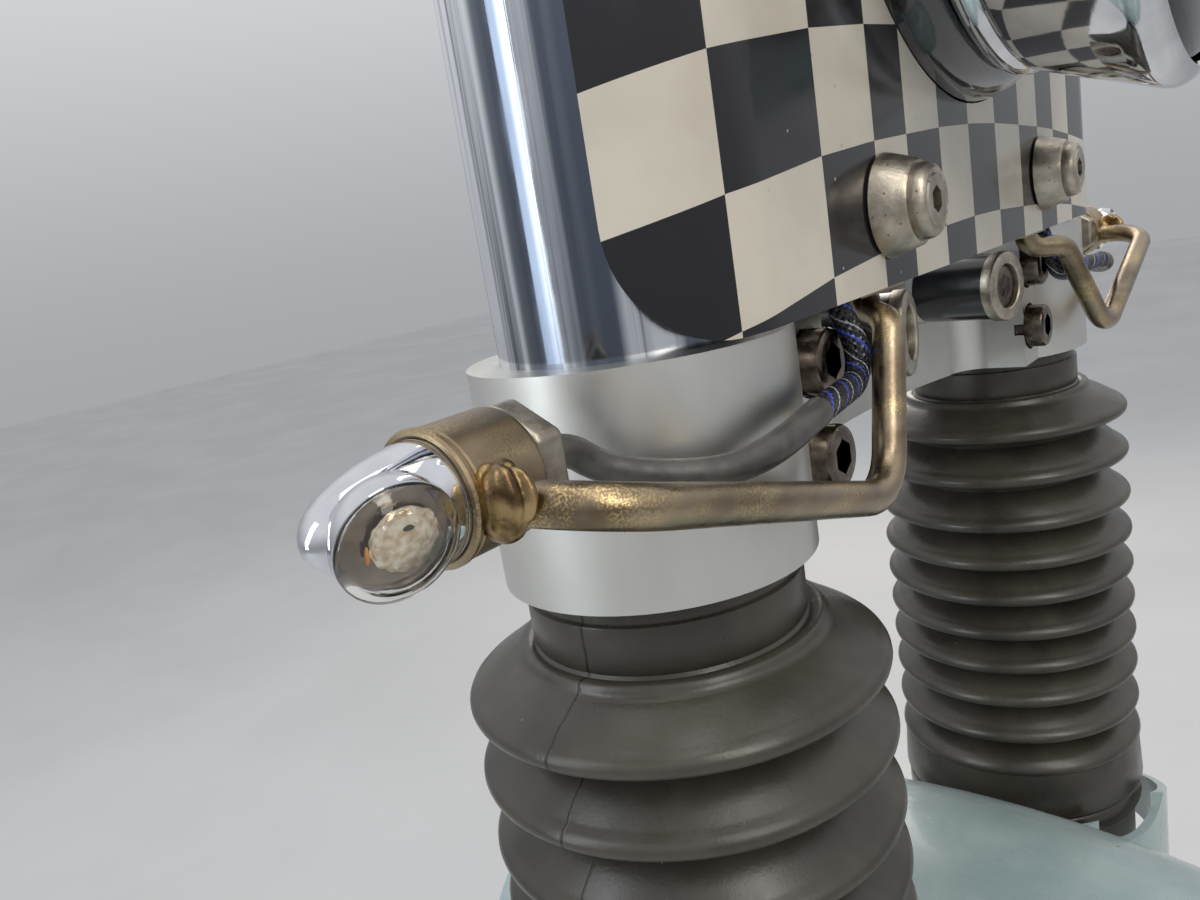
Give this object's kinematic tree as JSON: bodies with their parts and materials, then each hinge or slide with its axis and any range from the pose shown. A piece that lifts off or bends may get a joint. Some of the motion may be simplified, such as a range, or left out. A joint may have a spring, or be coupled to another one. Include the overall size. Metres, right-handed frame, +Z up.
{
  "type": "motorcycle front fork assembly",
  "caption": "Telescopic motorcycle front fork with yokes, rubber gaiters, headlamp in a chequered panel, bullet indicators and mudguard, turning in its steering head.",
  "frame": {"origin": "middle of the steering head, on the steering axis", "axes": "+Z up along the steering axis, +X forward, +Y to the rider's left"},
  "size_m": [0.3626, 0.3766, 0.782],
  "materials": {
    "black_paint": "gloss black enamel",
    "bearing_steel": "ground steel",
    "bright_steel": "polished plating",
    "yoke_aluminium": "satin machined",
    "tube_chrome": "polished hard chrome with fine vertical scratches",
    "gaiter_rubber": "satin black rubber",
    "slider_alloy": "satin alloy",
    "dark_bolt": "dark plated steel",
    "boss_black": "gloss black",
    "panel_check": "gloss cream and black chequers",
    "plated_steel": "dull zinc plating",
    "raw_rod": "heat-tinted raw steel",
    "indicator_chrome": "polished chrome",
    "clear_lens": "clear lens",
    "led": "faceted clear emitters",
    "lead_sheath": "grey sleeve and black braid",
    "lamp_black": "gloss black",
    "lamp_chrome": "mirror chrome",
    "lamp_glass": "clear glass",
    "reflector": "aluminised bowl",
    "guard_paint": "scuffed pale blue-grey paint"
  },
  "bodies": {
    "head": {"steering_head_tube": "black_paint", "head_bearing_cup_lower": "bearing_steel", "head_bearing_cup_upper": "bearing_steel"},
    "fork": {"head_bearing_cone_lower": "bearing_steel", "head_bearing_cone_upper": "bearing_steel", "steering_stem": "bearing_steel", "bearing_adjuster_nut": "bearing_steel", "steering_stem_nut": "bright_steel", "lower_yoke": "yoke_aluminium", "upper_yoke": "yoke_aluminium", "headlamp_panel": "panel_check", "headlamp_bucket": "lamp_black", "headlamp_rim": "lamp_chrome", "headlamp_lens": "lamp_glass", "headlamp_reflector": "reflector", "mudguard": "guard_paint", "fork_tube_right": "tube_chrome", "fork_cap_right": "yoke_aluminium", "gaiter_right": "gaiter_rubber", "slider_right": "slider_alloy", "pinch_bolts_right": "dark_bolt", "yoke_boss_right": "boss_black", "yoke_boss_ring_right": "yoke_aluminium", "yoke_boss_bolt_right": "dark_bolt", "panel_cones_right": "plated_steel", "panel_bolts_right": "plated_steel", "indicator_bracket_right": "raw_rod", "panel_bracket_right": "raw_rod", "indicator_collar_right": "raw_rod", "indicator_nut_right": "raw_rod", "indicator_body_right": "indicator_chrome", "indicator_lens_right": "clear_lens", "indicator_leds_right": "led", "indicator_lead_right": "lead_sheath", "lead_grommet_right": "gaiter_rubber", "mudguard_wing_right": "guard_paint", "mudguard_bolts_right": "dark_bolt", "fork_tube_left": "tube_chrome", "fork_cap_left": "yoke_aluminium", "gaiter_left": "gaiter_rubber", "slider_left": "slider_alloy", "pinch_bolts_left": "dark_bolt", "yoke_boss_left": "boss_black", "yoke_boss_ring_left": "yoke_aluminium", "yoke_boss_bolt_left": "dark_bolt", "panel_cones_left": "plated_steel", "panel_bolts_left": "plated_steel", "indicator_bracket_left": "raw_rod", "panel_bracket_left": "raw_rod", "indicator_collar_left": "raw_rod", "indicator_nut_left": "raw_rod", "indicator_body_left": "indicator_chrome", "indicator_lens_left": "clear_lens", "indicator_leds_left": "led", "indicator_lead_left": "lead_sheath", "lead_grommet_left": "gaiter_rubber", "mudguard_wing_left": "guard_paint", "mudguard_bolts_left": "dark_bolt"}
  },
  "joints": [
    {"name": "steering", "type": "hinge", "parent": "head", "child": "fork", "pos_m": [0, 0, 0], "axis": [0, 0, 1], "range_deg": [-32, 32]}
  ]
}
